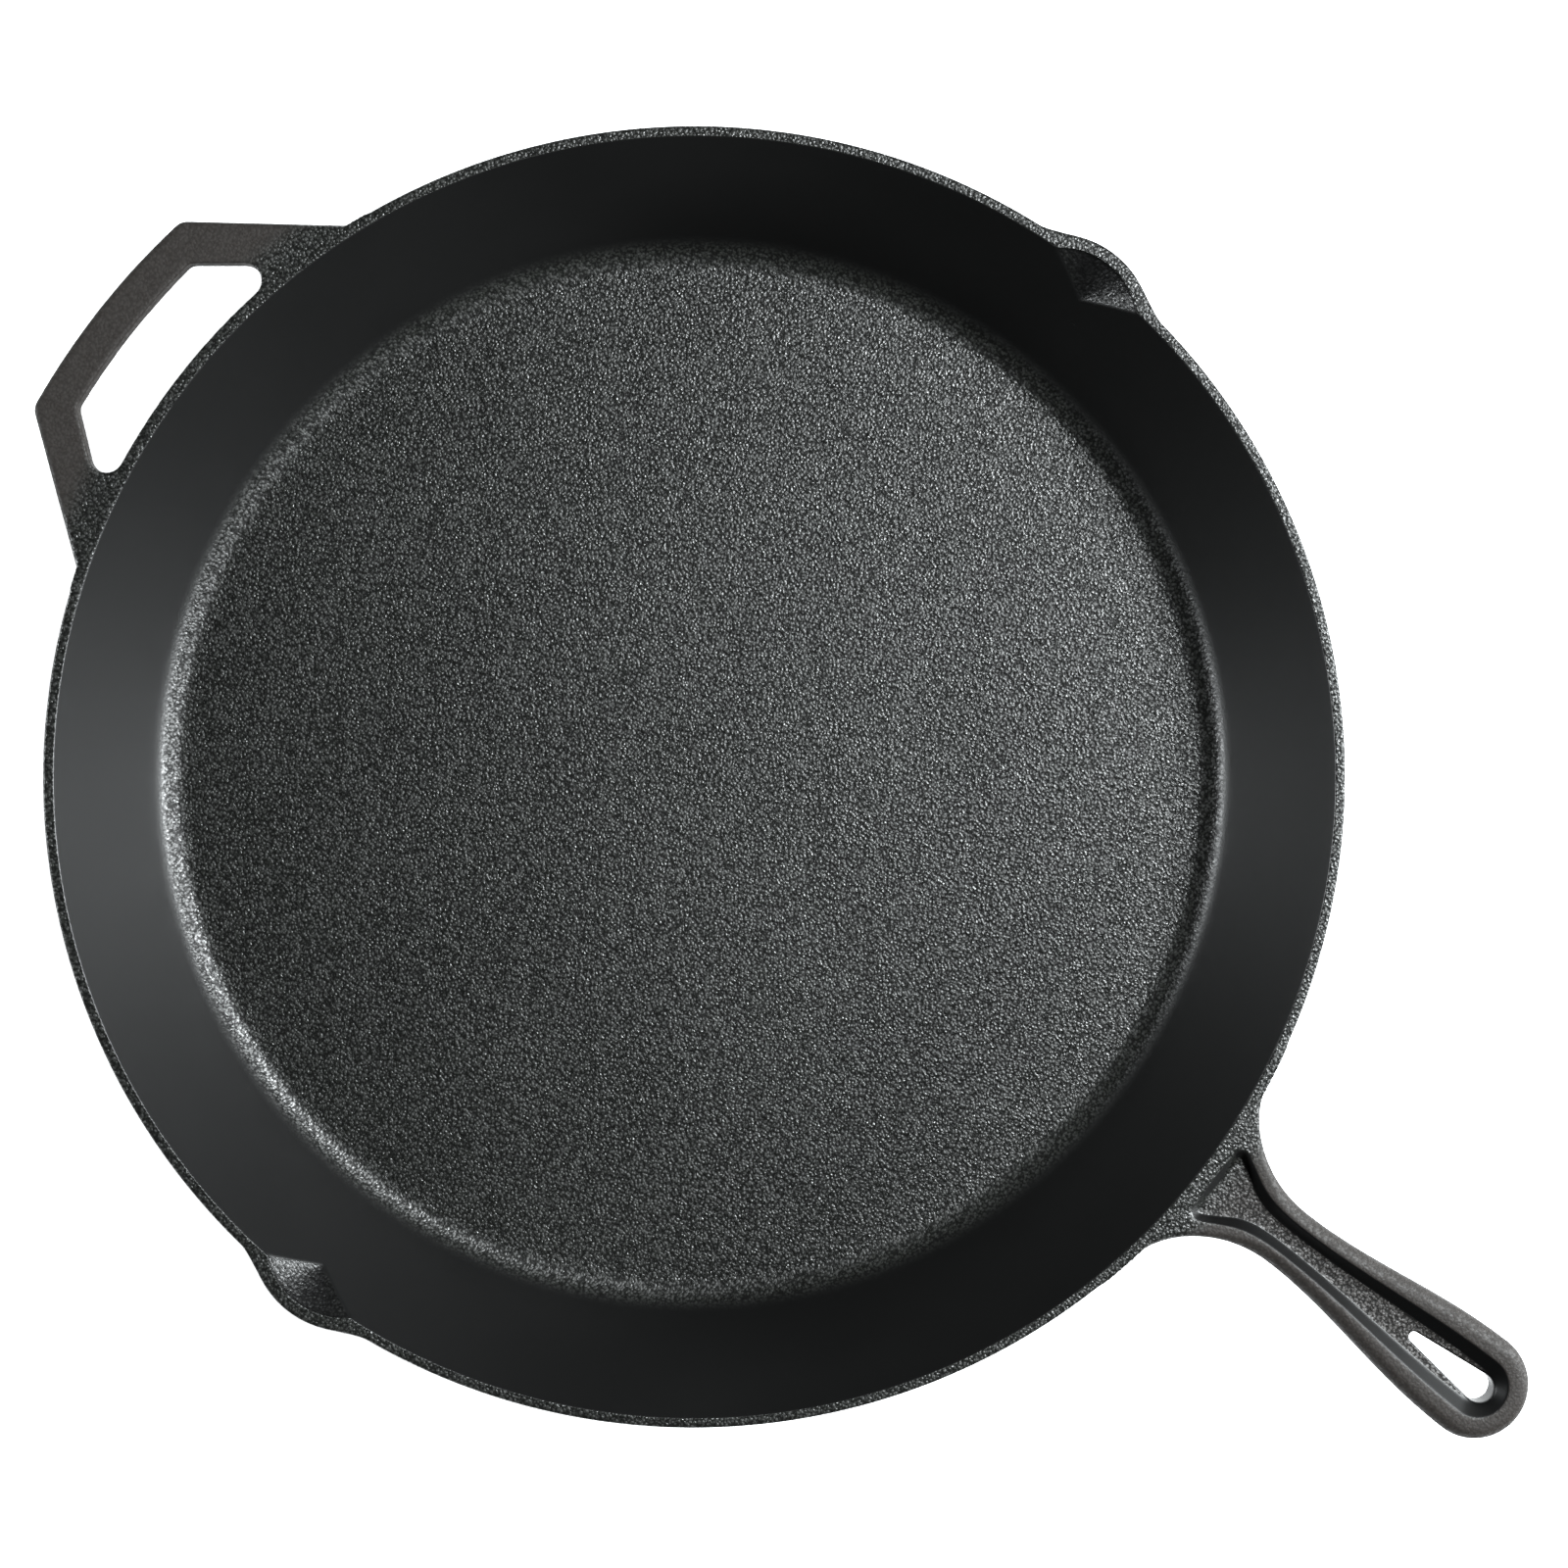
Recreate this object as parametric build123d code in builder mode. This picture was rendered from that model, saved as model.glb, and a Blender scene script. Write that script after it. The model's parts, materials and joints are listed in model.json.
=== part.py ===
"""A 20 inch cast iron skillet: a flared pan with a pour spout on each side, a long main handle
with a hanging eye and, opposite it, a short helper handle with a finger slot.

The skillet is one casting. It is divided here into the regions that a foundry drawing names, which
meet face to face: the floor, the side wall, the two spouts and the two handles. A spout or a handle
takes with it the patch of wall that it is cast on.

Frame: the origin is the centre of the flat underside, +Z is up and +X points along the main handle.
Millimetres and degrees.
"""

from build123d import *
from math import cos, radians, sin, sqrt, tan
import os

os.makedirs("parts", exist_ok=True)

# The pan
rim_radius = 254.0  # outside of the rim
rim_band = 4.8  # flat band on top of the rim
height = 76.0  # underside to the top of the rim
floor_thickness = 6.0
wall_flare = 24.5  # how far the wall leans out from upright
inner_corner = 14.0  # radius where the floor turns up into the wall, inside
outer_corner = 18.0  # the same turn on the outside
floor_land = 3.0  # flat floor left round the floor disc before the inside corner starts

# The pour spouts
spout_half_width = 20.6  # half of the mouth, where the scoop leaves the inner edge of the rim
spout_depth = 8.2  # how far the scoop runs out past the line of the mouth
spout_wall = 5.5  # iron left between the scoop and the outside of the lip
scoop_drop = 17.0  # the scoop runs out to a point this far below the rim
bulge_radius = 40.0  # the bulge outside the lip, seen from above
bulge_drop = 25.0  # the outside bulge runs out this far below the rim
point_radius = 0.4  # each of the two runs out to a circle this small
spout_patch_angle = 9.5  # half of the angle of wall that goes with a spout
spout_patch_depth = 30.0

# The main handle, measured out from the rim
handle_reach = 159.5  # rim to the tip
handle_end_radius = 21.7  # round end, and half of the greatest width
neck_reach = 42.0  # rim to the narrowest place
neck_half_width = 12.4
root_half_width = 38.5  # half of the width where the flared root crosses the rim
root_crossing = 14.0  # the angle at which its edge crosses the rim
root_elbow_reach = 12.0  # a place on the hollow edge of the flared root ...
root_elbow_half_width = 21.0  # ... and half of the width there
root_run_in = 18.0  # how far its edge runs on inside the rim
root_plate = 9.0  # thickness of the flared root
root_depth = 31.0  # the spine under the root meets the wall this far below the rim
neck_depth = 16.5  # thickness at the neck
tip_depth = 12.5  # thickness at the round end
spine_half_width = 10.0
spine_soft_edge = 4.0
spine_overlap = 2.0  # how deep the end of the spine is sunk into the body at the neck
spine_rise_at_wall = 0.8  # how steeply its underside leaves the wall, up over out ...
spine_rise_at_neck = 0.15  # ... and how steeply it comes in at the neck
handle_soft_edge = 4.5  # rounding along the underside
handle_top_edge = 2.2  # rounding along the top
handle_patch_angle = 14.5  # half of the angle of wall that goes with the handle
handle_patch_depth = 38.0

# The thumb recess in the top of the main handle, measured out from the rim
recess_depth = 5.0
recess_lean = 36.0  # lean of the recess walls from upright
recess_start = 1.6  # rim to the straight side of the recess
recess_root_half_width = 18.3
recess_elbow_reach = 21.0  # a place on the hollow side of the recess ...
recess_elbow_half_width = 9.4  # ... and half of the width there
recess_neck_half_width = 6.6
recess_heading = -0.35  # how its hollow side sets off towards the neck, across over along
recess_corner = 3.5
end_rail = 9.1  # solid rail round the end of the recess
recess_floor_end_radius = 7.0  # round end of the recess at its floor, where the walls lean more

# The hanging eye, a teardrop
eye_length = 41.6
eye_wide_radius = 5.9
eye_narrow_radius = 2.0
eye_margin = 13.5  # eye to the tip of the handle

# The helper handle, measured out from the rim
helper_reach = 39.3  # rim to the outer edge
helper_plate = 9.5  # thickness
helper_root_angle = 19.15  # half of the angle of rim that the handle spans
helper_corner_half_width = 45.5  # half of the width at the outer corners
helper_corner = 6.5
helper_soft_edge = 2.0
helper_patch_angle = 22.5  # half of the angle of wall that goes with the handle
helper_patch_depth = 24.0

# The finger slot
slot_reach = 25.2  # rim to the far side of the slot
slot_near_half_width = 59.0  # at the rim, before its corners are rounded
slot_far_half_width = 34.9  # at the far side, before its corners are rounded
slot_near_corner = 6.5
slot_far_corner = 4.0

overrun = 5.0  # how far a cutting shape runs past what it cuts
nudge = 0.1  # margin when an edge or a corner is picked by where it lies
underside_tilt = -0.3  # a face whose normal has less rise than this is an underside

slope = tan(radians(wall_flare))
inner_rim_radius = rim_radius - rim_band
inner_foot = inner_rim_radius - (height - floor_thickness) * slope
outer_foot = rim_radius - height * slope
floor_radius = inner_foot - inner_corner * tan(radians(90 - wall_flare) / 2) - floor_land


def wedge(direction, half_angle, depth):
    """The block of space, from the rim down, that goes with one cast-on feature."""
    reach = 2 * rim_radius
    angles = (direction - half_angle, direction + half_angle)
    with BuildPart() as block:
        with BuildSketch(Plane.XY.offset(height - depth)):
            with BuildLine():
                ends = [(reach * cos(radians(a)), reach * sin(radians(a))) for a in angles]
                Polyline((0, 0), *ends, close=True)
            make_face()
        extrude(amount=depth + overrun)
    return block.part


# The whole ring of wall, with its rounded foot and before anything is cast on
with BuildPart() as ring:
    with BuildSketch(Plane.XZ) as ring_section:
        with BuildLine():
            Polyline(
                (floor_radius, 0),
                (outer_foot, 0),
                (rim_radius, height),
                (inner_rim_radius, height),
                (inner_foot, floor_thickness),
                (floor_radius, floor_thickness),
                close=True,
            )
        make_face()
        fillet(ring_section.vertices().sort_by_distance((outer_foot, 0))[0], outer_corner)
        fillet(ring_section.vertices().sort_by_distance((inner_foot, floor_thickness))[0], inner_corner)
    revolve(axis=Axis.Z)

# The space inside the pan, which no handle may enter
with BuildPart() as cavity:
    with BuildSketch(Plane.XZ):
        with BuildLine():
            Polyline(
                (0, floor_thickness),
                (inner_foot, floor_thickness),
                (inner_rim_radius + overrun * slope, height + overrun),
                (0, height + overrun),
                close=True,
            )
        make_face()
    revolve(axis=Axis.Z)

# The cooking floor
with BuildPart() as pan_floor:
    Cylinder(floor_radius, floor_thickness, align=(Align.CENTER, Align.CENTER, Align.MIN))
pan_floor.part.label = "pan_floor"
export_step(pan_floor.part, "parts/pan_floor.step")

# The side wall, with a gap in its upper edge for each spout and handle
with BuildPart() as side_wall:
    add(ring.part)
    add(wedge(0, handle_patch_angle, handle_patch_depth), mode=Mode.SUBTRACT)
    add(wedge(180, helper_patch_angle, helper_patch_depth), mode=Mode.SUBTRACT)
    add(wedge(90, spout_patch_angle, spout_patch_depth), mode=Mode.SUBTRACT)
    add(wedge(270, spout_patch_angle, spout_patch_depth), mode=Mode.SUBTRACT)
side_wall.part.label = "side_wall"
export_step(side_wall.part, "parts/side_wall.step")

# A pour spout, made on the +Y side. Scoop and bulge are leaning cones, each between a circle at the
# level of the rim and a point low on the wall. The scoop is cut before the inside of the pan is,
# because once the wall is thin the cone only touches it and cuts nothing.
mouth_line = sqrt(inner_rim_radius**2 - spout_half_width**2)
scoop_radius = (spout_half_width**2 + spout_depth**2) / (2 * spout_depth)
scoop_centre = mouth_line + spout_depth - scoop_radius
scoop_point = inner_rim_radius - scoop_drop * slope
bulge_centre = scoop_centre + scoop_radius + spout_wall - bulge_radius
bulge_point = rim_radius - bulge_drop * slope


def leaning_cone(radius, centre, drop, point, past_rim):
    """A cone between a circle at the rim and a small circle on the wall, run on above the rim."""
    grow = past_rim / drop
    top_radius = radius + (radius - point_radius) * grow
    top_centre = centre + (centre - point) * grow
    with BuildPart() as cone:
        with BuildSketch(Plane.XY.offset(height + past_rim)):
            with Locations((0, top_centre)):
                Circle(top_radius)
        with BuildSketch(Plane.XY.offset(height - drop)):
            with Locations((0, point)):
                Circle(point_radius)
        loft(ruled=True)
    return cone.part


with BuildPart() as left_spout:
    add(ring.part)
    add(wedge(90, spout_patch_angle, spout_patch_depth), mode=Mode.INTERSECT)
    add(leaning_cone(bulge_radius, bulge_centre, bulge_drop, bulge_point, 0))
    add(leaning_cone(scoop_radius, scoop_centre, scoop_drop, scoop_point, overrun), mode=Mode.SUBTRACT)
    add(cavity.part, mode=Mode.SUBTRACT)
left_spout.part.label = "pour_spout_left"
export_step(left_spout.part, "parts/pour_spout_left.step")

with BuildPart() as right_spout:
    add(left_spout.part)
    mirror(about=Plane.XZ, mode=Mode.REPLACE)
right_spout.part.label = "pour_spout_right"
export_step(right_spout.part, "parts/pour_spout_right.step")

# The main handle. Its flared root is a plate flush with the rim, and under the root a deeper spine
# runs from the wall out into the body of the handle.
inside_x = inner_rim_radius - handle_patch_depth * slope
spine_foot_x = rim_radius - root_depth * slope
neck_x = rim_radius + neck_reach
tip_x = rim_radius + handle_reach
end_x = tip_x - handle_end_radius
recess_x = rim_radius + recess_start
eye_wide_x = tip_x - eye_margin - eye_wide_radius
eye_narrow_x = tip_x - eye_margin - eye_length + eye_narrow_radius
along = (1, 0)  # the direction of an edge that runs straight out

# the hollow edge of the root crosses the rim at a small angle and runs on inside the wall
root = Vector(sqrt(rim_radius**2 - root_half_width**2), root_half_width)
root_heading = Vector(root.Y, -root.X).normalized().rotate(Axis.Z, root_crossing)
heel = root - root_heading * root_run_in


def on_outline(point):
    """Whether a place is out at the side or the tip of the handle, not across its middle."""
    return abs(point.Y) > neck_half_width + nudge or point.X > end_x


with BuildPart() as handle_body:
    with BuildSketch(Plane.XY.offset(height)):
        with BuildLine():
            Polyline((inside_x, 0), (inside_x, heel.Y), heel, root)
            Spline(
                root,
                (rim_radius + root_elbow_reach, root_elbow_half_width),
                (neck_x, neck_half_width),
                tangents=[root_heading, along],
            )
            Spline((neck_x, neck_half_width), (end_x, handle_end_radius), tangents=[along, along])
            RadiusArc((end_x, handle_end_radius), (tip_x, 0), handle_end_radius)
            mirror(about=Plane.XZ)
        make_face()
    extrude(amount=-handle_patch_depth)
    with BuildSketch(Plane.XZ):
        with BuildLine():
            Polyline(
                (rim_radius, height - root_plate),
                (inside_x, height - root_plate),
                (inside_x, height),
                (tip_x, height),
                (tip_x, height - tip_depth),
                (neck_x, height - neck_depth),
            )
            Spline(
                (rim_radius, height - root_plate),
                (neck_x, height - neck_depth),
                tangents=[along, (tip_x - neck_x, neck_depth - tip_depth)],
            )
        make_face()
    extrude(amount=2 * rim_radius, both=True, mode=Mode.INTERSECT)
    free_edges = handle_body.edges().filter_by(lambda edge: (edge @ 0.5).X > heel.X + nudge)
    top_edges = free_edges.filter_by(lambda edge: (edge @ 0.5).Z > height - nudge)
    low_edges = free_edges.filter_by(lambda edge: (edge @ 0.5).Z < height - root_plate + nudge)
    fillet(low_edges.filter_by(lambda edge: on_outline(edge @ 0.5)), handle_soft_edge)
    fillet(top_edges, handle_top_edge)


def recess_outline(level, inset, end_radius):
    """The outline of the thumb recess at a level, drawn in from its mouth by an inset."""
    start = recess_x + inset
    half = recess_root_half_width - inset
    elbow = (rim_radius + recess_elbow_reach, recess_elbow_half_width - inset)
    waist = (neck_x, recess_neck_half_width - inset)
    end = (end_x, end_radius)
    with BuildSketch(Plane.XY.offset(level)) as outline:
        with BuildLine():
            Line((start, -half), (start, half))
            for side in (1, -1):
                corner, bend, narrow, wide = ((x, side * y) for x, y in ((start, half), elbow, waist, end))
                Spline(corner, bend, narrow, tangents=[(1, side * recess_heading), along])
                Spline(narrow, wide, tangents=[along, along])
            ThreePointArc((end_x, end[1]), (end_x + end[1], 0), (end_x, -end[1]))
        face = make_face()
        corners = face.vertices().filter_by(lambda corner: corner.X < start + nudge)
        fillet(corners, recess_corner - inset / 2)
    return outline.sketch


with BuildPart() as recess:
    floor_inset = recess_depth * tan(radians(recess_lean))
    add(recess_outline(height - recess_depth, floor_inset, recess_floor_end_radius))
    add(recess_outline(height, 0, handle_end_radius - end_rail))
    loft(ruled=True)

with BuildPart() as main_handle:
    with BuildSketch(Plane.XZ):
        with BuildLine():
            Polyline(
                (spine_foot_x, height - root_depth),
                (inside_x, height - root_depth),
                (inside_x, height - handle_top_edge),
                (neck_x, height - handle_top_edge),
                (neck_x, height - neck_depth + spine_overlap),
            )
            Spline(
                (spine_foot_x, height - root_depth),
                (neck_x, height - neck_depth + spine_overlap),
                tangents=[(1, spine_rise_at_wall), (1, spine_rise_at_neck)],
            )
        make_face()
    extrude(amount=spine_half_width, both=True)
    low_faces = main_handle.faces().filter_by(lambda face: face.normal_at().Z < underside_tilt)
    spine_edges = low_faces.edges().filter_by(lambda edge: abs((edge @ 0.5).Y) > nudge)
    fillet(spine_edges.filter_by(lambda edge: (edge @ 0.5).X > inside_x + nudge), spine_soft_edge)
    add(handle_body.part)
    add(cavity.part, mode=Mode.SUBTRACT)
    add(side_wall.part, mode=Mode.SUBTRACT)
    add(ring.part & wedge(0, handle_patch_angle, handle_patch_depth))
    add(recess.part, mode=Mode.SUBTRACT)
    with BuildSketch(Plane.XY):
        with Locations((eye_wide_x, 0)):
            Circle(eye_wide_radius)
        with Locations((eye_narrow_x, 0)):
            Circle(eye_narrow_radius)
        make_hull()
    extrude(amount=height + overrun, mode=Mode.SUBTRACT)
main_handle.part.label = "main_handle"
export_step(main_handle.part, "parts/main_handle.step")

# The helper handle: a flat plate flush with the rim, drawn towards +X and then turned to -X
helper_root_x = rim_radius * cos(radians(helper_root_angle))
helper_root_y = rim_radius * sin(radians(helper_root_angle))
helper_tip_x = rim_radius + helper_reach
helper_corner_x = sqrt(helper_tip_x**2 - helper_corner_half_width**2)
slot_far_radius = rim_radius + slot_reach
slot_near_x = sqrt(rim_radius**2 - slot_near_half_width**2)
slot_far_x = sqrt(slot_far_radius**2 - slot_far_half_width**2)
helper_side = Vector(helper_root_x - helper_corner_x, helper_root_y - helper_corner_half_width)
helper_heel = Vector(helper_root_x, helper_root_y) + helper_side.normalized() * helper_plate

with BuildPart() as helper_plate_blank:
    with BuildSketch(Plane.XY.offset(height)):
        with BuildLine():
            ThreePointArc(
                (helper_corner_x, -helper_corner_half_width),
                (helper_tip_x, 0),
                (helper_corner_x, helper_corner_half_width),
            )
            Polyline(
                (helper_corner_x, helper_corner_half_width),
                helper_heel,
                (helper_heel.X, -helper_heel.Y),
                (helper_corner_x, -helper_corner_half_width),
            )
        plate = make_face()
        fillet(plate.vertices().group_by(Axis.X)[-1], helper_corner)
    extrude(amount=-helper_plate)
    outer_edges = helper_plate_blank.edges().filter_by(Axis.Z, reverse=True)
    fillet(outer_edges.filter_by(lambda edge: (edge @ 0.5).X > helper_heel.X + nudge), helper_soft_edge)
    with BuildSketch(Plane.XY.offset(height)) as slot:
        with BuildLine():
            ThreePointArc(
                (slot_near_x, -slot_near_half_width),
                (rim_radius, 0),
                (slot_near_x, slot_near_half_width),
            )
            ThreePointArc(
                (slot_far_x, -slot_far_half_width),
                (slot_far_radius, 0),
                (slot_far_x, slot_far_half_width),
            )
            Line((slot_near_x, slot_near_half_width), (slot_far_x, slot_far_half_width))
            Line((slot_near_x, -slot_near_half_width), (slot_far_x, -slot_far_half_width))
        make_face()
        fillet(slot.vertices().group_by(Axis.X)[-1], slot_far_corner)
        fillet(slot.vertices().group_by(Axis.X)[0], slot_near_corner)
    extrude(amount=-helper_plate, mode=Mode.SUBTRACT)

with BuildPart() as helper_handle:
    add(helper_plate_blank.part)
    add(cavity.part, mode=Mode.SUBTRACT)
    add(ring.part & wedge(0, helper_patch_angle, helper_patch_depth))
    add(Rot(0, 0, 180) * helper_handle.part, mode=Mode.REPLACE)
helper_handle.part.label = "helper_handle"
export_step(helper_handle.part, "parts/helper_handle.step")
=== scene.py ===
# %% [markdown]
# # A cast iron skillet
#
# The object is a 20 inch skillet: a wide pan with a flared wall, two pour spouts, a long handle with
# a hanging eye and a short helper handle with a finger slot. The real one is a single iron casting,
# poured in a sand mould and baked with oil until it is black.
#
# The CAD model holds its sizes. This lesson makes the looks round it: soft cast edges, the hollow
# blends where a spout or a handle grows out of the wall, and iron that is pebbled where the sand
# left its grain and smooth where the wall was dressed.
#
# Everything is in metres and in the CAD's own frame: the origin is the centre of the underside,
# +Z is up and +X points along the main handle.

# %% Load the CAD frame
import json
import math

import bpy
import numpy as np
from mathutils import Euler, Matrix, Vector

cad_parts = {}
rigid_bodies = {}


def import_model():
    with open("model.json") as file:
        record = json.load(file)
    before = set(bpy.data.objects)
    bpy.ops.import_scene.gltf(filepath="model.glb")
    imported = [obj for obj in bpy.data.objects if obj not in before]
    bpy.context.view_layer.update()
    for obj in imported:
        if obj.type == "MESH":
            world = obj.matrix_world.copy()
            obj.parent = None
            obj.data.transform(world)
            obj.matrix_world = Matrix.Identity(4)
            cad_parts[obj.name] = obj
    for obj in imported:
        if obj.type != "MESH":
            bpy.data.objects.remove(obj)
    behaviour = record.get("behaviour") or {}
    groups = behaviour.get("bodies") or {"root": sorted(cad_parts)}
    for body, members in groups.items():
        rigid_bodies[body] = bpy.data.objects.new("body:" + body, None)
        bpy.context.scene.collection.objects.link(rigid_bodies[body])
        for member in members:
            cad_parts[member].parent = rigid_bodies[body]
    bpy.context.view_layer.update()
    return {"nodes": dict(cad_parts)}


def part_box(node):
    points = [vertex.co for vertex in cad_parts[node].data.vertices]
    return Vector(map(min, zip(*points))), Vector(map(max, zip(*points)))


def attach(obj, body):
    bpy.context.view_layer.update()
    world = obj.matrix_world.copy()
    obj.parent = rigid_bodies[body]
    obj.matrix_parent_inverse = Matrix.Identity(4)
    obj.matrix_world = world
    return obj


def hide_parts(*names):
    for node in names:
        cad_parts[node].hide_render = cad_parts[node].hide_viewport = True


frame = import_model()
print("CAD nodes:", sorted(frame["nodes"]))

# %% [markdown]
# ## Sizes
#
# The frame gives the height, the floor's thickness and the floor disc's radius. The rest are the
# sizes of the wall's section, which every piece shares. Because the pan is one casting, all six
# pieces have to agree exactly where they meet, so each takes its wall from this one section.

# %% Sizes of the pan
MM = 0.001
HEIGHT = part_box("side_wall")[1][2]
FLOOR_RADIUS, _, FLOOR_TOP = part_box("pan_floor")[1]
RIM_RADIUS = 254 * MM
RIM_BAND = 4.8 * MM
SLOPE = math.tan(math.radians(24.5))
INNER_CORNER = 14 * MM
OUTER_CORNER = 18 * MM
RIM_OUTER_EDGE = 1.3 * MM
RIM_INNER_EDGE = 0.7 * MM
print(f"height {HEIGHT / MM:.1f} mm, floor disc {2 * FLOOR_RADIUS / MM:.1f} mm across")

# %% [markdown]
# ## Small tools
#
# An operator works on whatever is selected, and the loaded CAD nodes come in selected, so a piece
# is always made the only selected object first. Modifiers are applied as soon as they are set, so
# that a piece is plain mesh when the next step measures it.

# %% Select, apply, measure
def select_only(piece):
    """Makes this piece the active object and the only selected one."""
    if bpy.context.object and bpy.context.object.mode != "OBJECT":
        bpy.ops.object.mode_set(mode="OBJECT")
    bpy.ops.object.select_all(action="DESELECT")
    piece.select_set(True)
    bpy.context.view_layer.objects.active = piece


def apply_modifier(piece, kind, **settings):
    """Adds a modifier with these settings and applies it at once."""
    select_only(piece)
    modifier = piece.modifiers.new(kind.title(), kind)
    for name, value in settings.items():
        setattr(modifier, name, value)
    bpy.ops.object.modifier_apply(modifier=modifier.name)


def points_of(piece):
    """Every vertex of a piece, as an array of rows."""
    flat = np.empty(len(piece.data.vertices) * 3)
    piece.data.vertices.foreach_get("co", flat)
    return flat.reshape(-1, 3)


def move_points(piece, points):
    """Puts every vertex of a piece where the array says."""
    piece.data.vertices.foreach_set("co", np.ascontiguousarray(points).ravel())
    piece.data.update()


def pick(piece, kind, chosen):
    """Selects the chosen edges or faces of a piece, by a true or false for each, and nothing else."""
    select_only(piece)
    mesh = piece.data
    for items in (mesh.vertices, mesh.edges, mesh.polygons):
        items.foreach_set("select", np.zeros(len(items), bool))
    getattr(mesh, kind).foreach_set("select", chosen)
    bpy.ops.object.mode_set(mode="EDIT")
    bpy.ops.mesh.select_mode(type="EDGE" if kind == "edges" else "FACE")


def finish_shading(piece, degrees=40):
    """Smooth shading that stays sharp only at the seams, and a report of what was made."""
    select_only(piece)
    bpy.ops.object.shade_smooth_by_angle(angle=math.radians(degrees))
    triangles = len(piece.data.loops) - 2 * len(piece.data.polygons)
    print(f"{piece.name}: {triangles} triangles")
    return piece


# %% [markdown]
# ## The section of the wall
#
# A foundry pattern for a pan is turned on a lathe, so the wall is best made the same way: its
# section is drawn once and spun round the pan's axis. A point-by-point list would be hard to
# change, so the section is given by its corners, each with the radius that rounds it off.

# %% Draw a rounded outline
def rounded(corners, turn=math.radians(9), longest=3 * MM):
    """Points of a closed outline from (x, y, radius) corners, an arc at each and long runs divided."""
    bends = []
    for i, (x, y, radius) in enumerate(corners):
        here = Vector((x, y))
        if radius == 0:
            bends.append([here])
            continue
        back = (Vector(corners[i - 1][:2]) - here).normalized()
        on = (Vector(corners[(i + 1) % len(corners)][:2]) - here).normalized()
        half = back.angle(on) / 2
        centre = here + (back + on).normalized() * radius / math.sin(half)
        spokes = [here + way * radius / math.tan(half) - centre for way in (back, on)]
        first, last = (math.atan2(spoke.y, spoke.x) for spoke in spokes)
        sweep = (last - first + math.pi) % (2 * math.pi) - math.pi
        steps = max(2, round(abs(sweep) / turn))
        angles = [first + sweep * k / steps for k in range(steps + 1)]
        bends.append([centre + radius * Vector((math.cos(a), math.sin(a))) for a in angles])
    points = []
    for bend, after in zip(bends, bends[1:] + bends[:1]):
        points += bend[:-1]
        steps = max(1, math.ceil((after[0] - bend[-1]).length / longest))
        points += [bend[-1].lerp(after[0], k / steps) for k in range(steps)]
    return points


# %% [markdown]
# Each spout or handle takes its patch of wall with it, down to a level of its own. Those levels are
# put into the section as plain points, so that the spun wall has an edge to cut along.

# %% The wall's own corners
PATCHES = {
    "main_handle": {"direction": 0, "half_angle": 14.5, "depth": 38 * MM},
    "pour_spout_left": {"direction": 90, "half_angle": 9.5, "depth": 30 * MM},
    "helper_handle": {"direction": 180, "half_angle": 22.5, "depth": 24 * MM},
    "pour_spout_right": {"direction": 270, "half_angle": 9.5, "depth": 30 * MM},
}


def outer_line(z):
    """Radius of the wall's outside at a level, before the foot is rounded."""
    return RIM_RADIUS - (HEIGHT - z) * SLOPE


def inner_line(z):
    """Radius of the wall's inside at a level."""
    return outer_line(z) - RIM_BAND


def wall_corners(lowest=None, levels=()):
    """Corners of the whole wall's section, or only of its part above a level."""
    outside = [(outer_line(z), z, 0) for z in sorted(levels)]
    inside = [(inner_line(z), z, 0) for z in sorted(levels, reverse=True)]
    rim = [(RIM_RADIUS, HEIGHT, RIM_OUTER_EDGE), (RIM_RADIUS - RIM_BAND, HEIGHT, RIM_INNER_EDGE)]
    if lowest is not None:
        return [(outer_line(lowest), lowest, 0), *outside, *rim, *inside, (inner_line(lowest), lowest, 0)]
    foot = [(FLOOR_RADIUS, 0, 0), (outer_line(0), 0, OUTER_CORNER)]
    corner = [(inner_line(FLOOR_TOP), FLOOR_TOP, INNER_CORNER), (FLOOR_RADIUS, FLOOR_TOP, 0)]
    return [*foot, *outside, *rim, *inside, *corner]


section = rounded(wall_corners(levels=[HEIGHT - patch["depth"] for patch in PATCHES.values()]))
print(len(section), "points in the wall's section")

# %% [markdown]
# ## Spinning the section
#
# The spin starts from a circle that has as many points as the section. Its points are moved onto
# the section, and the spin operator sweeps them round. A full turn closes on itself and needs its
# first and last copies merged. A part turn is left open at both ends, which are filled.

# %% Spin
def spin_section(name, outline, start, sweep, steps):
    """A closed solid from an outline of radius and height, spun from one angle by a sweep in degrees."""
    bpy.ops.object.select_all(action="DESELECT")
    bpy.ops.mesh.primitive_circle_add(vertices=len(outline), radius=RIM_RADIUS, fill_type="NOTHING")
    piece = bpy.context.object
    piece.name = piece.data.name = name
    radius, z = np.array([tuple(point) for point in outline]).T
    angle = math.radians(start)
    move_points(piece, np.stack([radius * math.cos(angle), radius * math.sin(angle), z], 1))
    bpy.ops.object.mode_set(mode="EDIT")
    bpy.ops.mesh.select_all(action="SELECT")
    bpy.ops.mesh.spin(steps=steps, angle=math.radians(sweep), center=(0, 0, 0), axis=(0, 0, -1))
    bpy.ops.mesh.select_all(action="SELECT")
    bpy.ops.mesh.remove_doubles(threshold=0.01 * MM)
    bpy.ops.mesh.select_all(action="DESELECT")
    bpy.ops.mesh.select_mode(type="EDGE")
    bpy.ops.mesh.select_non_manifold()
    if sweep < 360:
        bpy.ops.mesh.fill_holes(sides=0)
    bpy.ops.mesh.select_all(action="SELECT")
    bpy.ops.mesh.normals_make_consistent(inside=False)
    bpy.ops.object.mode_set(mode="OBJECT")
    return piece


# %% [markdown]
# ## The side wall
#
# The wall is spun in half degree steps, so that the edges of every patch fall on an edge of the
# mesh. The faces of the four patches are then deleted, and each gap is closed: a bridge along its
# floor, and a fill at its two ends.

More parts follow.
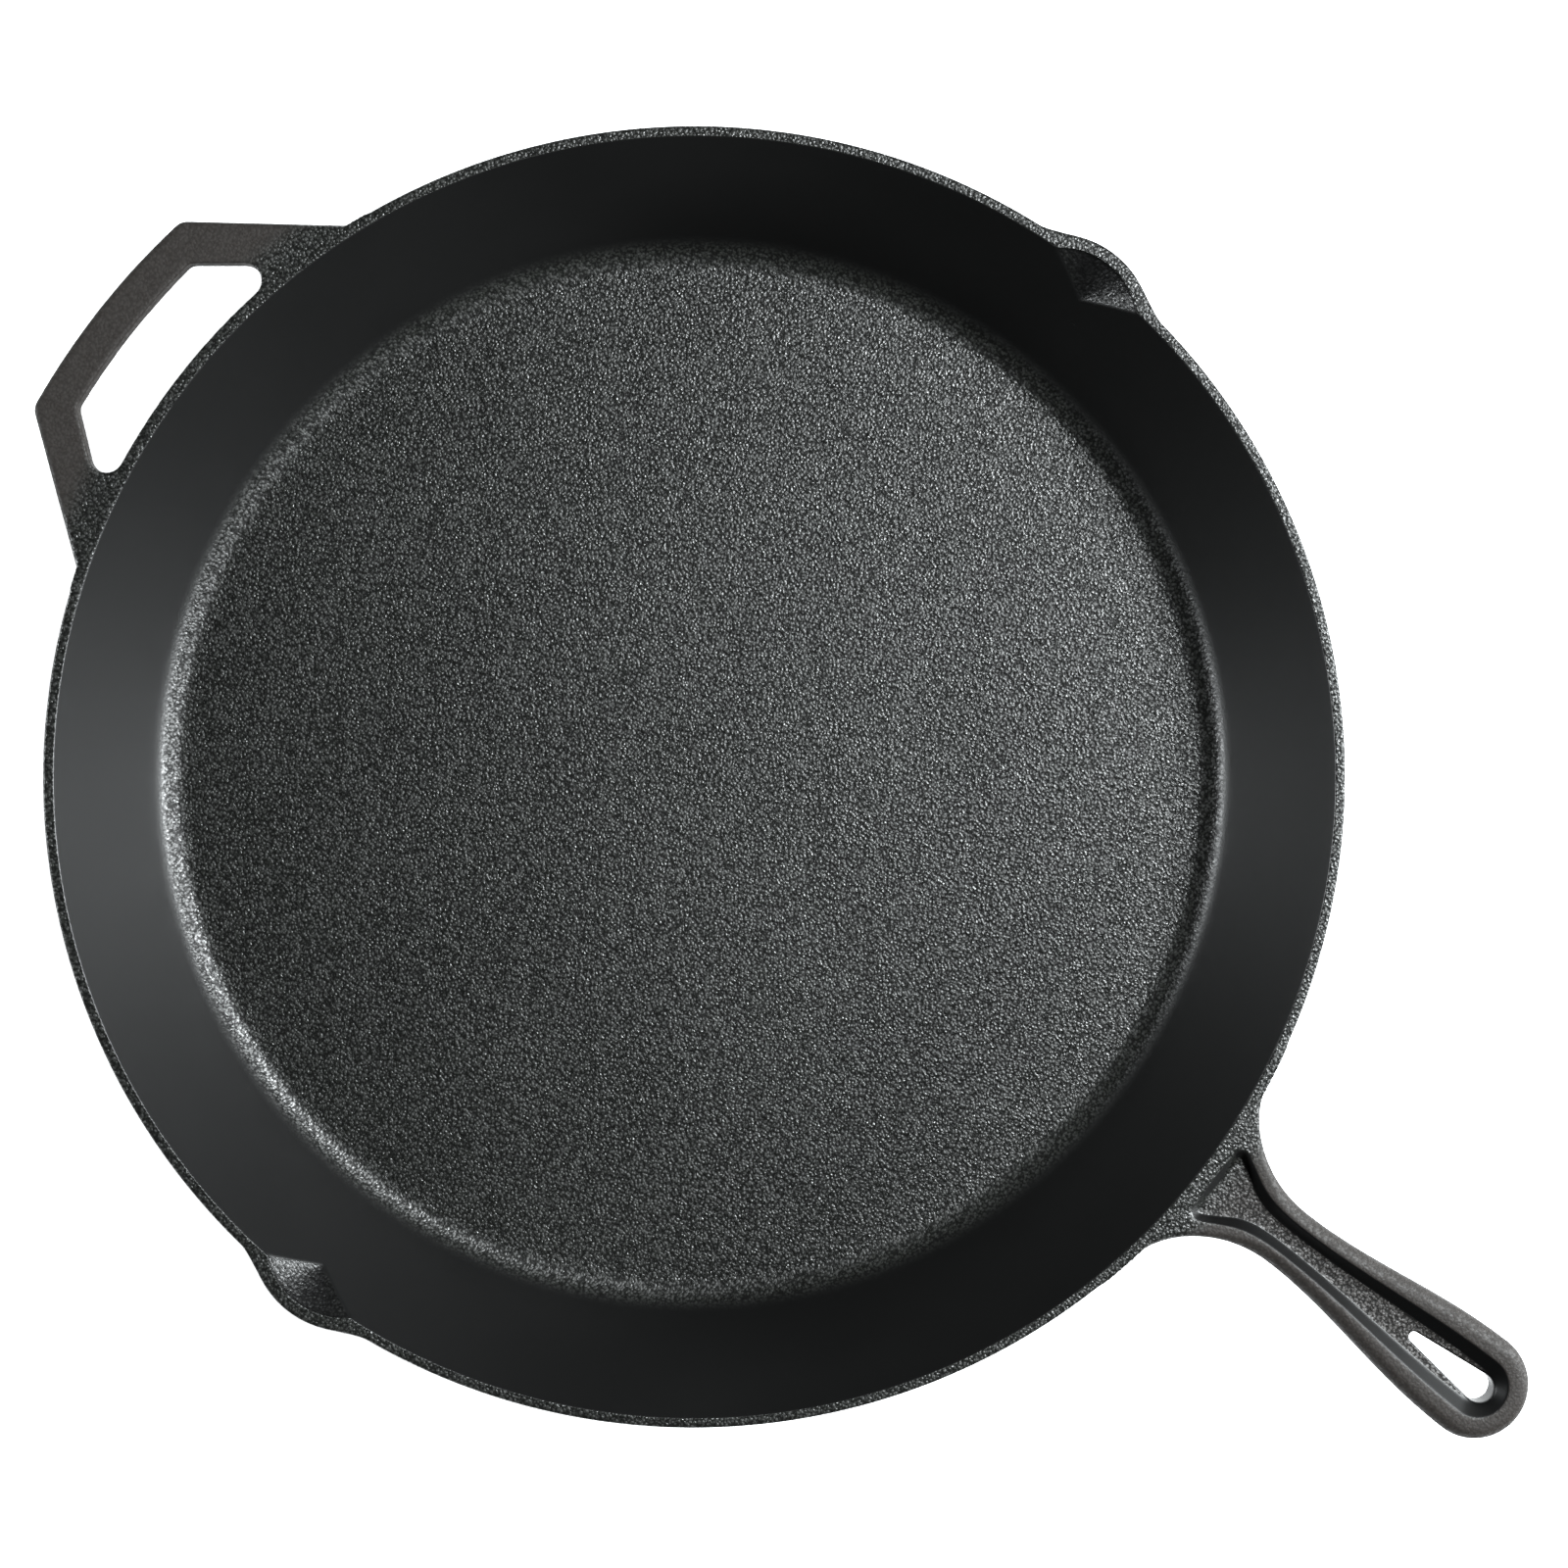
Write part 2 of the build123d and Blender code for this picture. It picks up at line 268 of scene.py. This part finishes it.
# %% Spin the side wall and open its gaps
def read(items, name, width, kind=float):
    """One property of every vertex, edge, face or loop, as an array."""
    flat = np.empty(len(items) * width, kind)
    items.foreach_get(name, flat)
    return flat.reshape(-1, width) if width > 1 else flat


def open_gap(wall, direction, half_angle, depth):
    """Deletes one patch from the upper edge of the wall and closes what that leaves open."""
    cut = HEIGHT - depth
    centres = read(wall.data.polygons, "center", 3)
    angles = np.degrees(np.arctan2(centres[:, 1], centres[:, 0]))
    off = np.abs((angles - direction + 180) % 360 - 180)
    pick(wall, "polygons", (off < half_angle) & (centres[:, 2] > cut))
    bpy.ops.mesh.delete(type="FACE")
    bpy.ops.object.mode_set(mode="OBJECT")
    ends = read(wall.data.edges, "vertices", 2, int)
    uses = np.bincount(read(wall.data.loops, "edge_index", 1, int), minlength=len(ends))
    low = (np.abs(points_of(wall)[ends, 2] - cut) < 0.01 * MM).all(axis=1)
    pick(wall, "edges", (uses == 1) & low)
    bpy.ops.mesh.bridge_edge_loops()
    bpy.ops.mesh.select_all(action="DESELECT")
    bpy.ops.mesh.select_non_manifold()
    bpy.ops.mesh.fill_holes(sides=0)
    bpy.ops.object.mode_set(mode="OBJECT")


WALL_STEPS = 720
side_wall = spin_section("wall_casting", section, start=0, sweep=360, steps=WALL_STEPS)
for patch in PATCHES.values():
    open_gap(side_wall, **patch)
finish_shading(side_wall)

# %% [markdown]
# ## The cooking floor
#
# The floor is a plain disc that the wall closes round. It has as many sides as the wall has steps,
# so that the two meet without a gap.

# %% Make the floor
bpy.ops.object.select_all(action="DESELECT")
bpy.ops.mesh.primitive_cylinder_add(
    vertices=WALL_STEPS,
    radius=FLOOR_RADIUS,
    depth=FLOOR_TOP,
    end_fill_type="NGON",
    location=(0, 0, FLOOR_TOP / 2),
)
bpy.ops.object.transform_apply(location=True, rotation=True, scale=True)
pan_floor = bpy.context.object
pan_floor.name = pan_floor.data.name = "floor_casting"
finish_shading(pan_floor)

# %% [markdown]
# ## The pour spouts
#
# A spout is the same wall pushed outwards. Seen from above, its inside follows one circle, the
# scoop, and its outside follows a wider one, the bulge. The scoop leaves the wall at a crease, and
# the bulge leaves it through a soft hollow. Both shrink on the way down until they run out to
# nothing, so the push at a lower level is the rim's own curve at a smaller scale.

# %% The push outwards at the rim
SCOOP_HALF_WIDTH = 20.6 * MM
SCOOP_DEPTH = 8.2 * MM
LIP = 5.5 * MM
SCOOP_DROP = 17 * MM
BULGE_RADIUS = 40 * MM
BULGE_DROP = 25 * MM
CREASE = 1.5 * MM
HOLLOW = 6 * MM
LIP_EDGE = 1.2 * MM

inner_rim = RIM_RADIUS - RIM_BAND
scoop_radius = (SCOOP_HALF_WIDTH**2 + SCOOP_DEPTH**2) / (2 * SCOOP_DEPTH)
scoop_centre = math.sqrt(inner_rim**2 - SCOOP_HALF_WIDTH**2) + SCOOP_DEPTH - scoop_radius
bulge_centre = scoop_centre + scoop_radius + LIP - BULGE_RADIUS


def smooth_step(x, start, end):
    """Rises from 0 at the start to 1 at the end, level at both."""
    t = np.clip((x - start) / (end - start), 0, 1)
    return t * t * (3 - 2 * t)


def edge_drop(inset, width, height):
    """Height lost at a distance in from an edge that is rounded as a quarter of an ellipse."""
    t = np.clip(1 - inset / width, 0, 1)
    return height * (1 - np.sqrt(1 - t * t))


def push(across, drop, full_drop, radius, centre, rim, blend):
    """How far a place moves out, from its distance across the spout and its drop below the rim."""
    reach = 0.999 * radius
    scale = np.clip(1 - drop / full_drop, 1e-6, 1)
    x = np.clip(across / scale, -reach, reach)
    lead = centre + np.sqrt(radius**2 - x**2) - np.sqrt(rim**2 - x**2)
    merged = np.maximum(lead, 0) + np.maximum(blend - np.abs(lead), 0) ** 2 / (4 * blend)
    return scale * np.where(np.abs(across) < reach * scale, merged, 0)


# %% [markdown]
# Each spout starts as a closely divided part turn of the wall. A point on the outside moves by the
# bulge's push and one on the inside by the scoop's, and between them the two are mixed.

# %% Make both spouts
SPOUT_STEPS = 160


def make_spout(name, direction, half_angle, depth):
    """A patch of the wall with its spout pushed out."""
    outline = rounded(wall_corners(lowest=HEIGHT - depth), turn=math.radians(15), longest=0.6 * MM)
    spout = spin_section(name, outline, direction - half_angle, 2 * half_angle, steps=SPOUT_STEPS)
    points = points_of(spout)
    way = np.array([math.cos(math.radians(direction)), math.sin(math.radians(direction))])
    across = points[:, :2] @ np.array([-way[1], way[0]])
    drop = HEIGHT - points[:, 2]
    inside = inner_line(points[:, 2])
    share = np.clip((np.hypot(points[:, 0], points[:, 1]) - inside) / RIM_BAND, 0, 1)
    scoop = push(across, drop, SCOOP_DROP, scoop_radius, scoop_centre, inner_rim, CREASE)
    scoop = np.maximum(scoop - edge_drop(drop, LIP_EDGE, LIP_EDGE), 0)
    bulge = push(across, drop, BULGE_DROP, BULGE_RADIUS, bulge_centre, RIM_RADIUS, HOLLOW)
    points[:, :2] += ((1 - share) * scoop + share * bulge)[:, None] * way
    move_points(spout, points)
    return finish_shading(spout)


left_spout = make_spout("spout_casting_left", **PATCHES["pour_spout_left"])
right_spout = make_spout("spout_casting_right", **PATCHES["pour_spout_right"])

# %% [markdown]
# ## Soft cast edges on the handles
#
# The CAD handles have the right sizes, but their edges and the corners where they meet the wall are
# harder than sand casting gives. Each handle is cast again here: a copy of the CAD node is joined to
# a slightly larger patch of wall, the voxel remesher melts the two into one even skin, and smoothing
# softens every edge. The larger patch keeps the cutting planes inside solid iron.

# %% Melt a handle and its patch of wall into one skin
VOXEL = 0.62 * MM
SPARE_ANGLE = 2
SPARE_DEPTH = 5 * MM


def melt(node, name, direction, half_angle, depth):
    """One smooth skin round a copy of a CAD node and the wall it is cast on."""
    low = HEIGHT - depth - SPARE_DEPTH
    outline = rounded(wall_corners(lowest=low))
    start, sweep = direction - half_angle - SPARE_ANGLE, 2 * (half_angle + SPARE_ANGLE)
    handle = spin_section(name, outline, start, sweep, steps=round(2 * sweep))
    copy = bpy.data.objects[node].copy()
    copy.data = bpy.data.objects[node].data.copy()
    bpy.context.collection.objects.link(copy)
    select_only(copy)
    bpy.ops.object.parent_clear(type="CLEAR_KEEP_TRANSFORM")
    bpy.ops.object.transform_apply(location=True, rotation=True, scale=True)
    bpy.ops.object.mode_set(mode="EDIT")
    bpy.ops.mesh.select_all(action="SELECT")
    bpy.ops.mesh.remove_doubles(threshold=0.001 * MM)
    bpy.ops.mesh.normals_make_consistent(inside=False)
    bpy.ops.object.mode_set(mode="OBJECT")
    copy.select_set(True)
    handle.select_set(True)
    bpy.context.view_layer.objects.active = handle
    bpy.ops.object.join()
    handle.data.materials.clear()
    apply_modifier(handle, "REMESH", mode="VOXEL", voxel_size=VOXEL, adaptivity=0)
    apply_modifier(handle, "SMOOTH", factor=0.5, iterations=8)
    return handle


# %% [markdown]
# The inside of the pan, the rim beyond the handle and the wall below it have to stay exactly on the
# wall's section, or the seams would show. Every point there is drawn onto the nearest place of the
# section, and round the handle's root the pull fades to nothing.

# %% Draw points back onto the wall's section
fine_outline = rounded(wall_corners(), turn=math.radians(4), longest=9 * MM)
fine_section = np.array([tuple(point) for point in fine_outline])


def nearest_on_line(places, line, closed):
    """For every place in a plane, the nearest place on a run of straight stretches."""
    starts, ends = (line, np.roll(line, -1, 0)) if closed else (line[:-1], line[1:])
    best = np.full(len(places), np.inf)
    nearest = np.empty_like(places)
    for start, end in zip(starts, ends):
        run = end - start
        t = np.clip((places - start) @ run / (run @ run), 0, 1)
        hit = start + t[:, None] * run
        gap = ((places - hit) ** 2).sum(1)
        closer = gap < best
        best[closer], nearest[closer] = gap[closer], hit[closer]
    return nearest


INSIDE_FADE = 1.5 * MM
SIDE_FADE = 1.2
FOOT_FADE = 3 * MM


def draw_to_wall(handle, direction, half_angle, depth, free_angle, free_depth):
    """Puts a handle's wall back on the section, but for the outside within these limits."""
    points = points_of(handle)
    radius = np.hypot(points[:, 0], points[:, 1])
    angle = np.arctan2(points[:, 1], points[:, 0])
    off = np.abs((np.degrees(angle) - direction + 180) % 360 - 180)
    z = points[:, 2]
    middle = inner_line(z) + RIM_BAND / 2
    inside = 1 - smooth_step(radius, middle, middle + INSIDE_FADE)
    beside = smooth_step(off, free_angle, free_angle + SIDE_FADE)
    below = 1 - smooth_step(z, HEIGHT - free_depth - FOOT_FADE, HEIGHT - free_depth)
    pull = np.maximum(inside, np.maximum(beside, below))
    hit = nearest_on_line(np.stack([radius, z], 1), fine_section, closed=True)
    radius += pull * (hit[:, 0] - radius)
    z = z + pull * (hit[:, 1] - z)
    move_points(handle, np.stack([radius * np.cos(angle), radius * np.sin(angle), z], 1))


# %% [markdown]
# Three straight cuts then trim the handle to the edges of its own patch.

# %% Trim to the patch
def trim(handle, direction, half_angle, depth):
    """Cuts a handle off at both sides and at the bottom of its patch, and closes the cuts."""
    planes = [((0, 0, HEIGHT - depth), (0, 0, -1))]
    for side in (-1, 1):
        edge = math.radians(direction + side * half_angle)
        planes.append(((0, 0, 0), (-side * math.sin(edge), side * math.cos(edge), 0)))
    select_only(handle)
    bpy.ops.object.mode_set(mode="EDIT")
    for place, outward in planes:
        bpy.ops.mesh.select_all(action="SELECT")
        bpy.ops.mesh.bisect(
            plane_co=place, plane_no=outward, use_fill=True, clear_outer=True, threshold=0.001 * MM
        )
    bpy.ops.object.mode_set(mode="OBJECT")


helper = melt("helper_handle", "helper_casting", **PATCHES["helper_handle"])
draw_to_wall(helper, **PATCHES["helper_handle"], free_angle=20.6, free_depth=12 * MM)
trim(helper, **PATCHES["helper_handle"])
finish_shading(helper)

# %% [markdown]
# ## The rails of the main handle
#
# Along the root the top edge of the handle is only slightly rounded. Towards the neck the rounding
# grows until it takes the whole rail beside the thumb recess, and at the end of the handle a narrow
# flat is left inside it. The rounding is an elliptical drop that depends on the distance in from the
# handle's outline, which is measured from the piece itself.

# %% Round the rails
CAD_TOP_EDGE = 2.2 * MM
EXTRA_WIDTH = 3.6 * MM
EXTRA_DROP = 2.4 * MM
RAIL_DEPTH = 10 * MM
NECK_X = RIM_RADIUS + 42 * MM
END_RADIUS = 21.7 * MM
END_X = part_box("main_handle")[1][0] - END_RADIUS


def round_rails(handle):
    """Grows the rounding of the handle's top edge towards the neck and the end."""
    points = points_of(handle)
    x, y, z = points.T
    band = (z > HEIGHT - RAIL_DEPTH) & (x > RIM_RADIUS + 1 * MM)
    sides = []
    for place in np.arange(RIM_RADIUS, END_X, 1 * MM):
        near = band & (np.abs(x - place) < 0.6 * MM)
        if near.any():
            sides.append((place, np.abs(y[near]).max()))
    arc = np.linspace(math.pi / 2, 0, 40)
    round_end = np.stack([END_X + END_RADIUS * np.cos(arc), END_RADIUS * np.sin(arc)], 1)
    outline = np.concatenate([np.array(sides), round_end])
    places = np.stack([x[band], np.abs(y[band])], 1)
    inset = np.linalg.norm(places - nearest_on_line(places, outline, closed=False), axis=1)
    grown = smooth_step(x[band], RIM_RADIUS + 2 * MM, NECK_X)
    width = CAD_TOP_EDGE + grown * EXTRA_WIDTH
    height = CAD_TOP_EDGE + grown * EXTRA_DROP
    floor = HEIGHT - RAIL_DEPTH
    before = RAIL_DEPTH - edge_drop(inset, CAD_TOP_EDGE, CAD_TOP_EDGE)
    after = RAIL_DEPTH - edge_drop(inset, width, height)
    points[band, 2] = floor + (z[band] - floor) * after / before
    move_points(handle, points)
    print(f"outline measured at {len(outline)} places, rails lowered by up to {height.max() / MM:.1f} mm")


main = melt("main_handle", "handle_casting", **PATCHES["main_handle"])
round_rails(main)
draw_to_wall(main, **PATCHES["main_handle"], free_angle=13.0, free_depth=32 * MM)
trim(main, **PATCHES["main_handle"])
finish_shading(main)

# %% [markdown]
# ## Seasoned cast iron
#
# All six pieces are one casting, so they share one finish, and its zones follow the pan's own radius
# and height, which agree on both sides of every seam. Sand casting leaves the floor, the rim and the
# outside pebbled. The wall is dressed smooth inside, the curve at its foot and the scoops keep a
# softer grain, and hands have worn the handles. Baked oil makes all of it black with a soft gloss.

# %% Helpers for materials
def linear(hex_colour):
    """A linear colour from an sRGB hex colour."""
    parts = [int(hex_colour[i : i + 2], 16) / 255 for i in (1, 3, 5)]
    return [c / 12.92 if c <= 0.04045 else ((c + 0.055) / 1.055) ** 2.4 for c in parts] + [1]


def add_node(tree, kind, inputs=None, **settings):
    """Adds a shader node, sets it, and links or fills its inputs."""
    node = tree.nodes.new("ShaderNode" + kind)
    for name, value in settings.items():
        setattr(node, name, value)
    for key, value in (inputs or {}).items():
        if isinstance(value, bpy.types.NodeSocket):
            tree.links.new(value, node.inputs[key])
        else:
            node.inputs[key].default_value = value
    return node


def ramp(tree, value, start, end, low=0.0, high=1.0):
    """A smooth change from low to high as a value goes from start to end."""
    inputs = {"Value": value, "From Min": start, "From Max": end, "To Min": low, "To Max": high}
    return add_node(tree, "MapRange", inputs, interpolation_type="SMOOTHSTEP").outputs["Result"]


def combine(tree, operation, a, b):
    """Two values put together by one sum."""
    return add_node(tree, "Math", {0: a, 1: b}, operation=operation).outputs[0]


def mix_colour(tree, share, a, b):
    """A mix of two colours."""
    return add_node(tree, "Mix", {0: share, 6: a, 7: b}, data_type="RGBA").outputs[2]


# %% [markdown]
# A zone is a value from 0 to 1 over the casting. The way a face looks tells the inside of the wall
# from the rim above it, and the lining of the thumb recess from the rail beside it. That lining faces
# the middle line of the handle, which runs from MIDDLE_START to the centre of the round end.

# %% Where each finish lies
CURVE_START = FLOOR_RADIUS + 3 * MM
GRAIN_END = FLOOR_RADIUS + 13 * MM
RECESS_DEPTH = 5 * MM
RECESS_START = RIM_RADIUS + 1.6 * MM
MIDDLE_START = RIM_RADIUS + 8 * MM


def product(tree, a, b):
    """The place where two zones overlap."""
    return combine(tree, "MULTIPLY", a, b)


def without(tree, zone):
    """Everywhere outside a zone."""
    return combine(tree, "SUBTRACT", 1.0, zone)


def facing(tree, normal, way, start, end):
    """1 where a face looks against a direction, fading to 0 between two amounts of turn."""
    unit = add_node(tree, "VectorMath", {0: way}, operation="NORMALIZE").outputs[0]
    along = add_node(tree, "VectorMath", {0: normal, 1: unit}, operation="DOT_PRODUCT").outputs["Value"]
    return ramp(tree, along, -end, -start, 1.0, 0.0)


def scoop_zone(tree, radius, height):
    """1 further out than the inside of the plain wall, as only a scoop is among faces that look in."""
    outward = combine(tree, "ADD", radius, product(tree, height, -SLOPE))
    wall = RIM_RADIUS - RIM_BAND - HEIGHT * SLOPE
    return ramp(tree, outward, wall + 0.1 * MM, wall + 0.8 * MM)


def lining_zone(tree, normal, x, y):
    """1 on the walls of the thumb recess and the hanging eye, which face the handle's middle line."""
    held = combine(tree, "MINIMUM", combine(tree, "MAXIMUM", x, MIDDLE_START), END_X)
    way = add_node(tree, "CombineXYZ", {0: combine(tree, "SUBTRACT", x, held), 1: y}).outputs[0]
    on_handle = ramp(tree, x, RECESS_START - 0.6 * MM, RECESS_START)
    return product(tree, facing(tree, normal, way, 0.25, 0.5), on_handle)


def iron_zones(tree, place, normal):
    """Every zone of the finish, by name."""
    x, y, height = add_node(tree, "SeparateXYZ", {0: place}).outputs
    across = add_node(tree, "CombineXYZ", {0: x, 1: y}).outputs[0]
    radius = add_node(tree, "VectorMath", {0: across}, operation="LENGTH").outputs["Value"]
    low = ramp(tree, height, FLOOR_TOP + 10 * MM, FLOOR_TOP + 20 * MM, 1.0, 0.0)
    past_curve = ramp(tree, radius, GRAIN_END - 3 * MM, GRAIN_END + 3 * MM)
    in_bowl = ramp(tree, radius, RIM_RADIUS + 4 * MM, RIM_RADIUS + 5 * MM, 1.0, 0.0)
    inside = product(tree, facing(tree, normal, across, 0.3, 0.75), in_bowl)
    handled = ramp(tree, radius, RIM_RADIUS + 3 * MM, RIM_RADIUS + 16 * MM)
    level = ramp(tree, add_node(tree, "SeparateXYZ", {0: normal}).outputs[2], 0.85, 0.95)
    recess_top = HEIGHT - RECESS_DEPTH + 0.4 * MM
    sunk = ramp(tree, height, recess_top, recess_top + 0.4 * MM, 1.0, 0.0)
    return {
        "curve": product(tree, low, ramp(tree, radius, CURVE_START, CURVE_START + 3 * MM)),
        "dressed": product(tree, inside, past_curve),
        "scoop": scoop_zone(tree, radius, height),
        "handled": handled,
        "worn": product(tree, handled, without(tree, product(tree, level, sunk))),
        "lining": lining_zone(tree, normal, x, y),
    }


# %% [markdown]
# The grain is one field of round pebbles with fine noise over it. It lifts the surface, paints
# shade into the hollows between the pebbles, where the bump casts none, and gives every pebble a
# gloss of its own, which makes the iron glitter against a light.

# %% Make the iron
GRAIN = 1.3 * MM
RELIEF = 0.24 * MM
CLOUD = 70 * MM
COLOURS = {
    "cast": ("#181917", "#1c1d1b"),  # soot black that still shows its grain
    "dressed": ("#080808", "#0a0a0a"),  # deeper, wet looking black
    "handled": "#23201e",  # warm brown black where hands rub the oil dull
    # painted shade: the colour given to the hollows between the pebbles
    "pit_shade_colour": "#060606",  # almost no light comes back from between two pebbles
}
CURVE_RELIEF, WORN_RELIEF, DRESSED_RELIEF = 0.45, 0.4, 0.02
SCOOP_SMOOTHNESS = 0.3
# how dark the painted shade between the pebbles gets, and how much of it is left on worn handles
PIT_SHADE_DARKNESS, WORN_PIT_SHADE = 0.75, 0.35
DRESSED_ROUGHNESS, GLOSSIEST, DULLEST, WORN_EXTRA = 0.38, 0.28, 0.5, 0.2
# the reflection is turned down in the hollows between the pebbles too, a painted shade
SHINE, PIT_SHADE_SHINE, WORN_SHINE = 0.5, 0.12, 0.4


def make_iron():
    """Sand cast iron, seasoned black: pebbles that glint, and a smooth satin wall."""
    material = bpy.data.materials.new("seasoned sand cast iron")
    material.use_nodes = True
    tree = material.node_tree
    shader = tree.nodes["Principled BSDF"]
    coordinates = add_node(tree, "TexCoord")
    place = coordinates.outputs["Object"]
    zones = iron_zones(tree, place, coordinates.outputs["Normal"])
    scoop = ramp(tree, zones["scoop"], 0, 1, 1.0, SCOOP_SMOOTHNESS)
    smooth = combine(tree, "MAXIMUM", product(tree, zones["dressed"], scoop), zones["lining"])

    # pebbles of sand grain, lifted less where the iron is softer or worn
    pebbles = add_node(tree, "TexVoronoi", {"Vector": place, "Scale": 1 / GRAIN}, feature="F1")
    uneven = add_node(tree, "TexNoise", {"Vector": place, "Scale": 1.4 / GRAIN, "Detail": 1.0})
    dome = product(tree, pebbles.outputs["Distance"], -1.0)
    relief = combine(tree, "ADD", dome, product(tree, uneven.outputs[0], 1.2))
    on_curve = ramp(tree, zones["curve"], 0, 1, 1.0, CURVE_RELIEF)
    soft = product(tree, on_curve, ramp(tree, zones["worn"], 0, 1, 1.0, WORN_RELIEF))
    depth = add_node(tree, "Mix", {0: smooth, 2: soft, 3: DRESSED_RELIEF}).outputs[0]
    lift = product(tree, relief, depth)
    bump = add_node(tree, "Bump", {"Strength": 1.0, "Distance": RELIEF, "Height": lift})

    # slow clouds in the oil, and painted shade in the hollows between the pebbles
    clouds = add_node(tree, "TexNoise", {"Vector": place, "Scale": 1 / CLOUD, "Detail": 2.0})
    tint = ramp(tree, clouds.outputs[0], 0.35, 0.65)
    cast = mix_colour(tree, tint, *(linear(colour) for colour in COLOURS["cast"]))
    satin = mix_colour(tree, tint, *(linear(colour) for colour in COLOURS["dressed"]))
    warmed = mix_colour(tree, zones["handled"], cast, linear(COLOURS["handled"]))
    # painted shade: the colour darkens where the relief sinks between the pebbles
    pit_shade_depth = ramp(tree, relief, -0.1, 0.35, PIT_SHADE_DARKNESS, 0.0)
    pit_shade_mask = product(tree, pit_shade_depth, ramp(tree, zones["worn"], 0, 1, 1.0, WORN_PIT_SHADE))
    pit_shaded_colour = mix_colour(tree, pit_shade_mask, warmed, linear(COLOURS["pit_shade_colour"]))
    darker = combine(tree, "MAXIMUM", zones["dressed"], zones["lining"])

    # oil lies thicker and glossier on some pebbles than on others, and hands take it off
    gloss = add_node(tree, "SeparateColor", {0: pebbles.outputs["Color"]}).outputs[0]
    glints = ramp(tree, gloss, 0.0, 1.0, GLOSSIEST, DULLEST)
    dulled = combine(tree, "ADD", glints, product(tree, zones["handled"], WORN_EXTRA))
    # painted shade: the hollows between the pebbles reflect less than the oiled pebbles around them
    shaded = product(tree, pit_shade_mask, without(tree, smooth))
    oil_shine_with_pit_shade = ramp(tree, shaded, 0, PIT_SHADE_DARKNESS, SHINE, PIT_SHADE_SHINE)
    finish = {
        "Base Color": mix_colour(tree, darker, pit_shaded_colour, satin),
        "Roughness": add_node(tree, "Mix", {0: smooth, 2: dulled, 3: DRESSED_ROUGHNESS}).outputs[0],
        "Specular IOR Level": product(tree, oil_shine_with_pit_shade, ramp(tree, zones["worn"], 0, 1, 1.0, WORN_SHINE)),
        "Normal": bump.outputs[0],
    }
    for socket, value in finish.items():
        tree.links.new(value, shader.inputs[socket])
    return material


iron = make_iron()
print("material:", iron.name)

# %% [markdown]
# ## Hand the pieces to the frame
#
# Each piece rides on the one rigid body and takes the one iron finish, and the CAD node it stands in for
# is hidden.

PIECES = {
    "pan_floor": (pan_floor, "cooking_floor_iron"),
    "side_wall": (side_wall, "wall_iron"),
    "pour_spout_left": (left_spout, "wall_iron"),
    "pour_spout_right": (right_spout, "wall_iron"),
    "helper_handle": (helper, "handle_iron"),
    "main_handle": (main, "handle_iron"),
}
for node, (piece, slot) in PIECES.items():
    piece.data.materials.clear()
    piece.data.materials.append(iron)
    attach(piece, "root")
    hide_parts(node)
print(len(PIECES), "pieces ride on the body")

# %% [markdown]
# ## Table and light
#
# One soft light stands high on the right and brings out the grain of the floor. A low one on each
# side lights the wall that faces it and leaves the near and the far wall dark.
# The table is white and glows a little, as a light table does, so that shadows on it are faint.

# %% Table and lights
bpy.context.scene.view_settings.view_transform = "Standard"
bpy.ops.mesh.primitive_plane_add(size=6, location=(0, 0, 0))
table = bpy.context.object
table.name = "pale_table"
surface = bpy.data.materials.new("white light table")
surface.use_nodes = True
TABLE_FINISH = {
    "Base Color": linear("#f4f4f4"),
    "Roughness": 0.9,
    "Emission Color": linear("#ffffff"),
    "Emission Strength": 0.75,
}
for socket, value in TABLE_FINISH.items():
    surface.node_tree.nodes["Principled BSDF"].inputs[socket].default_value = value
table.data.materials.append(surface)

world = bpy.data.worlds.new("dim white room")
world.use_nodes = True
world.node_tree.nodes["Background"].inputs["Color"].default_value = linear("#ffffff")
world.node_tree.nodes["Background"].inputs["Strength"].default_value = 0.01
bpy.context.scene.world = world

# the turn that takes the pan's own axes to the camera's right, up and back
tip, lean, spin = (math.radians(angle) for angle in (1.72, 3.7, -38.12))
turn = Euler((tip, 0, 0)).to_matrix() @ Euler((0, lean, 0)).to_matrix() @ Euler((0, 0, spin)).to_matrix()
to_view = turn.transposed()
RIM_CENTRE = Vector((0, 0, HEIGHT))


def from_view(x, y, z):
    """A place given along the camera's right, its up and towards it, from the rim's centre."""
    return to_view @ Vector((x, y, z)) + RIM_CENTRE


def soft_light(name, at, size_x, size_y, watts):
    """A soft rectangular light that faces the pan, a little cooler than white."""
    place = from_view(*at)
    bpy.ops.object.light_add(type="AREA", location=place)
    light = bpy.context.object
    light.name = name
    light.rotation_euler = (RIM_CENTRE - place).to_track_quat("-Z", "Y").to_euler()
    light.data.shape = "RECTANGLE"
    light.data.size, light.data.size_y = size_x, size_y
    light.data.energy = watts
    light.data.color = linear("#f8fdff")[:3]


soft_light("light_right", (1.2, 0.28, 1.5), 0.6, 0.55, 108)
soft_light("light_left_low", (-1.6, 0.0, 0.45), 0.5, 0.35, 29)
soft_light("light_right_low", (1.6, 0.0, 0.4), 0.5, 0.35, 56)

# %% [markdown]
# ## Camera
#
# The camera looks down almost upright, from a little over a metre above the rim. The pan sits
# slightly to the left of the view's middle, which leaves room for the long handle.

# %% Camera
VIEW_DISTANCE = 1.1
camera_data = bpy.data.cameras.new("camera")
camera_data.lens = 65
camera_data.sensor_width = 36
camera = bpy.data.objects.new("camera", camera_data)
bpy.context.collection.objects.link(camera)
camera.location = from_view(31.1 * MM, -1.0 * MM, VIEW_DISTANCE)
camera.rotation_euler = to_view.to_euler()
bpy.context.scene.camera = camera
print("camera at", [round(c, 3) for c in camera.location])
